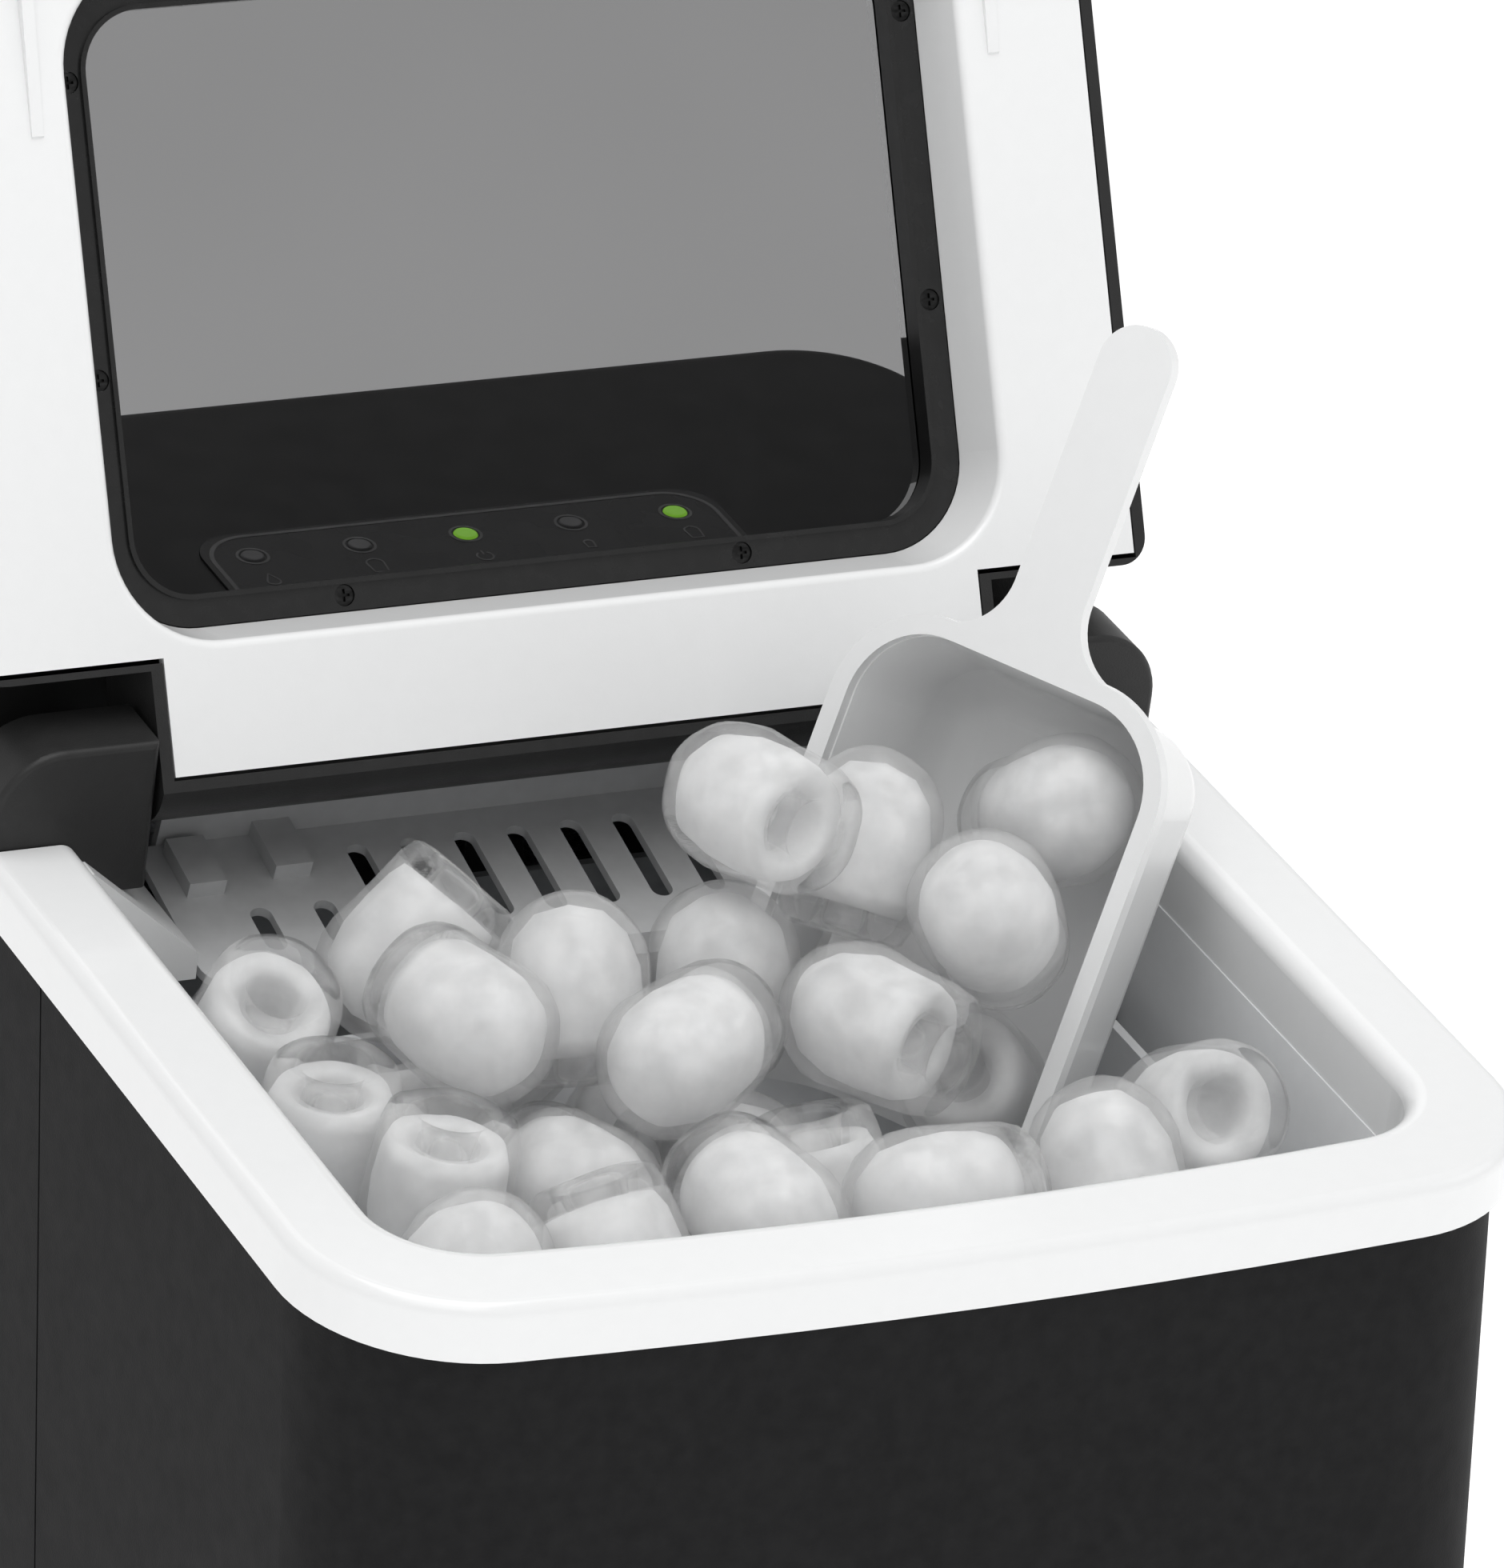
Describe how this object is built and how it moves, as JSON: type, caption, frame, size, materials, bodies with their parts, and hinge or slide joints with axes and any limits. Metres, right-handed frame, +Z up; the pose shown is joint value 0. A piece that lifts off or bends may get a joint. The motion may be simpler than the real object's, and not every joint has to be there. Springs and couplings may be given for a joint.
{
  "type": "ice maker",
  "caption": "Countertop ice maker with an open windowed lid, control panel, ice basket with loose ice and a hand scoop.",
  "frame": {"origin": "on the floor at the middle of the base", "axes": "+X to the right of the front, +Y to the back, +Z up"},
  "size_m": [0.224, 0.2816, 0.4375],
  "materials": {
    "black_textured": "fine-grained matt black",
    "black_satin": "satin black",
    "white_gloss": "gloss white",
    "grey_liner": "light grey satin",
    "smoke_window": "smoked, clear",
    "panel_black": "semi-gloss",
    "lens_lit": "lit green",
    "lens_unlit": "grey, unlit",
    "screw_black": "black oxide",
    "steel": "brushed",
    "aluminium": "as rolled",
    "copper": "drawn copper",
    "compressor_black": "semi-gloss enamel",
    "rubber_black": "matt",
    "hose_silicone": "translucent",
    "foam_white": "expanded foam",
    "board_green": "solder mask",
    "grey_plastic": "mid grey",
    "ice": "clear to cloudy ice"
  },
  "bodies": {
    "machine": {"base_tray": "black_textured", "front_wrap": "black_textured", "rear_shell": "black_textured", "feet": "rubber_black", "rear_screws": "screw_black", "cord_gland": "rubber_black", "top_frame": "white_gloss", "rear_top_cover": "black_satin", "control_panel": "panel_black", "indicators_lit": "lens_lit", "indicators_unlit": "lens_unlit", "control_board": "board_green", "hinge_pins": "steel", "ice_tub": "grey_liner", "foam_insulation": "foam_white", "evaporator": "aluminium", "evaporator_fingers": "steel", "tray_gearmotor": "grey_plastic", "tray_bearing": "grey_plastic", "shovel_brackets": "grey_plastic", "ice_sensors": "grey_plastic", "compressor": "compressor_black", "compressor_grommets": "rubber_black", "condenser": "aluminium", "fan_shroud": "black_satin", "fan_motor": "steel", "filter_drier": "copper", "refrigerant_tubes": "copper", "water_pump": "black_satin", "water_hose": "hose_silicone", "power_board": "board_green"},
    "lid": {"lid_shell": "black_satin", "lid_liner": "white_gloss", "window_frame": "panel_black", "window_pane": "smoke_window", "window_screws": "screw_black"},
    "power_key": {"power_button": "panel_black"},
    "select_key": {"select_button": "panel_black"},
    "fan": {"fan_blade": "black_satin"},
    "tray": {"water_tray": "grey_plastic"},
    "shovel": {"ice_shovel": "white_gloss"},
    "basket_load": {"basket": "grey_liner", "ice_heap": "ice"},
    "scoop_load": {"scoop": "white_gloss", "scooped_ice": "ice"},
    "drain_plug": {"drain_cap": "rubber_black"}
  },
  "joints": [
    {"name": "lid_hinge", "type": "hinge", "parent": "machine", "child": "lid", "pos_m": [0, 0.02738, 0.26428], "axis": [-1, 0, 0], "range_deg": [-118.2, 0]},
    {"name": "power_press", "type": "slide", "parent": "machine", "child": "power_key", "axis": [0, 0.1836, -0.983], "range_m": [0, 0.0003], "stiffness_N_per_m": 400},
    {"name": "select_press", "type": "slide", "parent": "machine", "child": "select_key", "axis": [0, 0.1836, -0.983], "range_m": [0, 0.0003], "stiffness_N_per_m": 400},
    {"name": "fan_spin", "type": "hinge", "parent": "machine", "child": "fan", "pos_m": [0.06, 0.076, 0.08], "axis": [1, 0, 0], "continuous": true},
    {"name": "tray_tilt", "type": "hinge", "parent": "machine", "child": "tray", "pos_m": [0, 0.0892, 0.22741], "axis": [1, 0, 0], "range_deg": [-45, 0]},
    {"name": "shovel_swing", "type": "hinge", "parent": "machine", "child": "shovel", "pos_m": [0, 0.05684, 0.24446], "axis": [1, 0, 0], "range_deg": [-18, 0]},
    {"name": "basket_lift", "type": "slide", "parent": "machine", "child": "basket_load", "axis": [0, 0, 1], "range_m": [0, 0.13]},
    {"name": "scoop_lift_out", "type": "slide", "parent": "basket_load", "child": "scoop_load", "axis": [0, -0.3765, 0.9264], "range_m": [0, 0.54]},
    {"name": "drain_cap_pull", "type": "slide", "parent": "machine", "child": "drain_plug", "axis": [1, 0, 0], "range_m": [0, 0.03]}
  ],
  "couplings": [
    {"joint": "scoop_lift_out", "follows": "lid_hinge", "m_per_rad": -0.2406},
    {"joint": "shovel_swing", "follows": "tray_tilt", "ratio": 0.4}
  ]
}
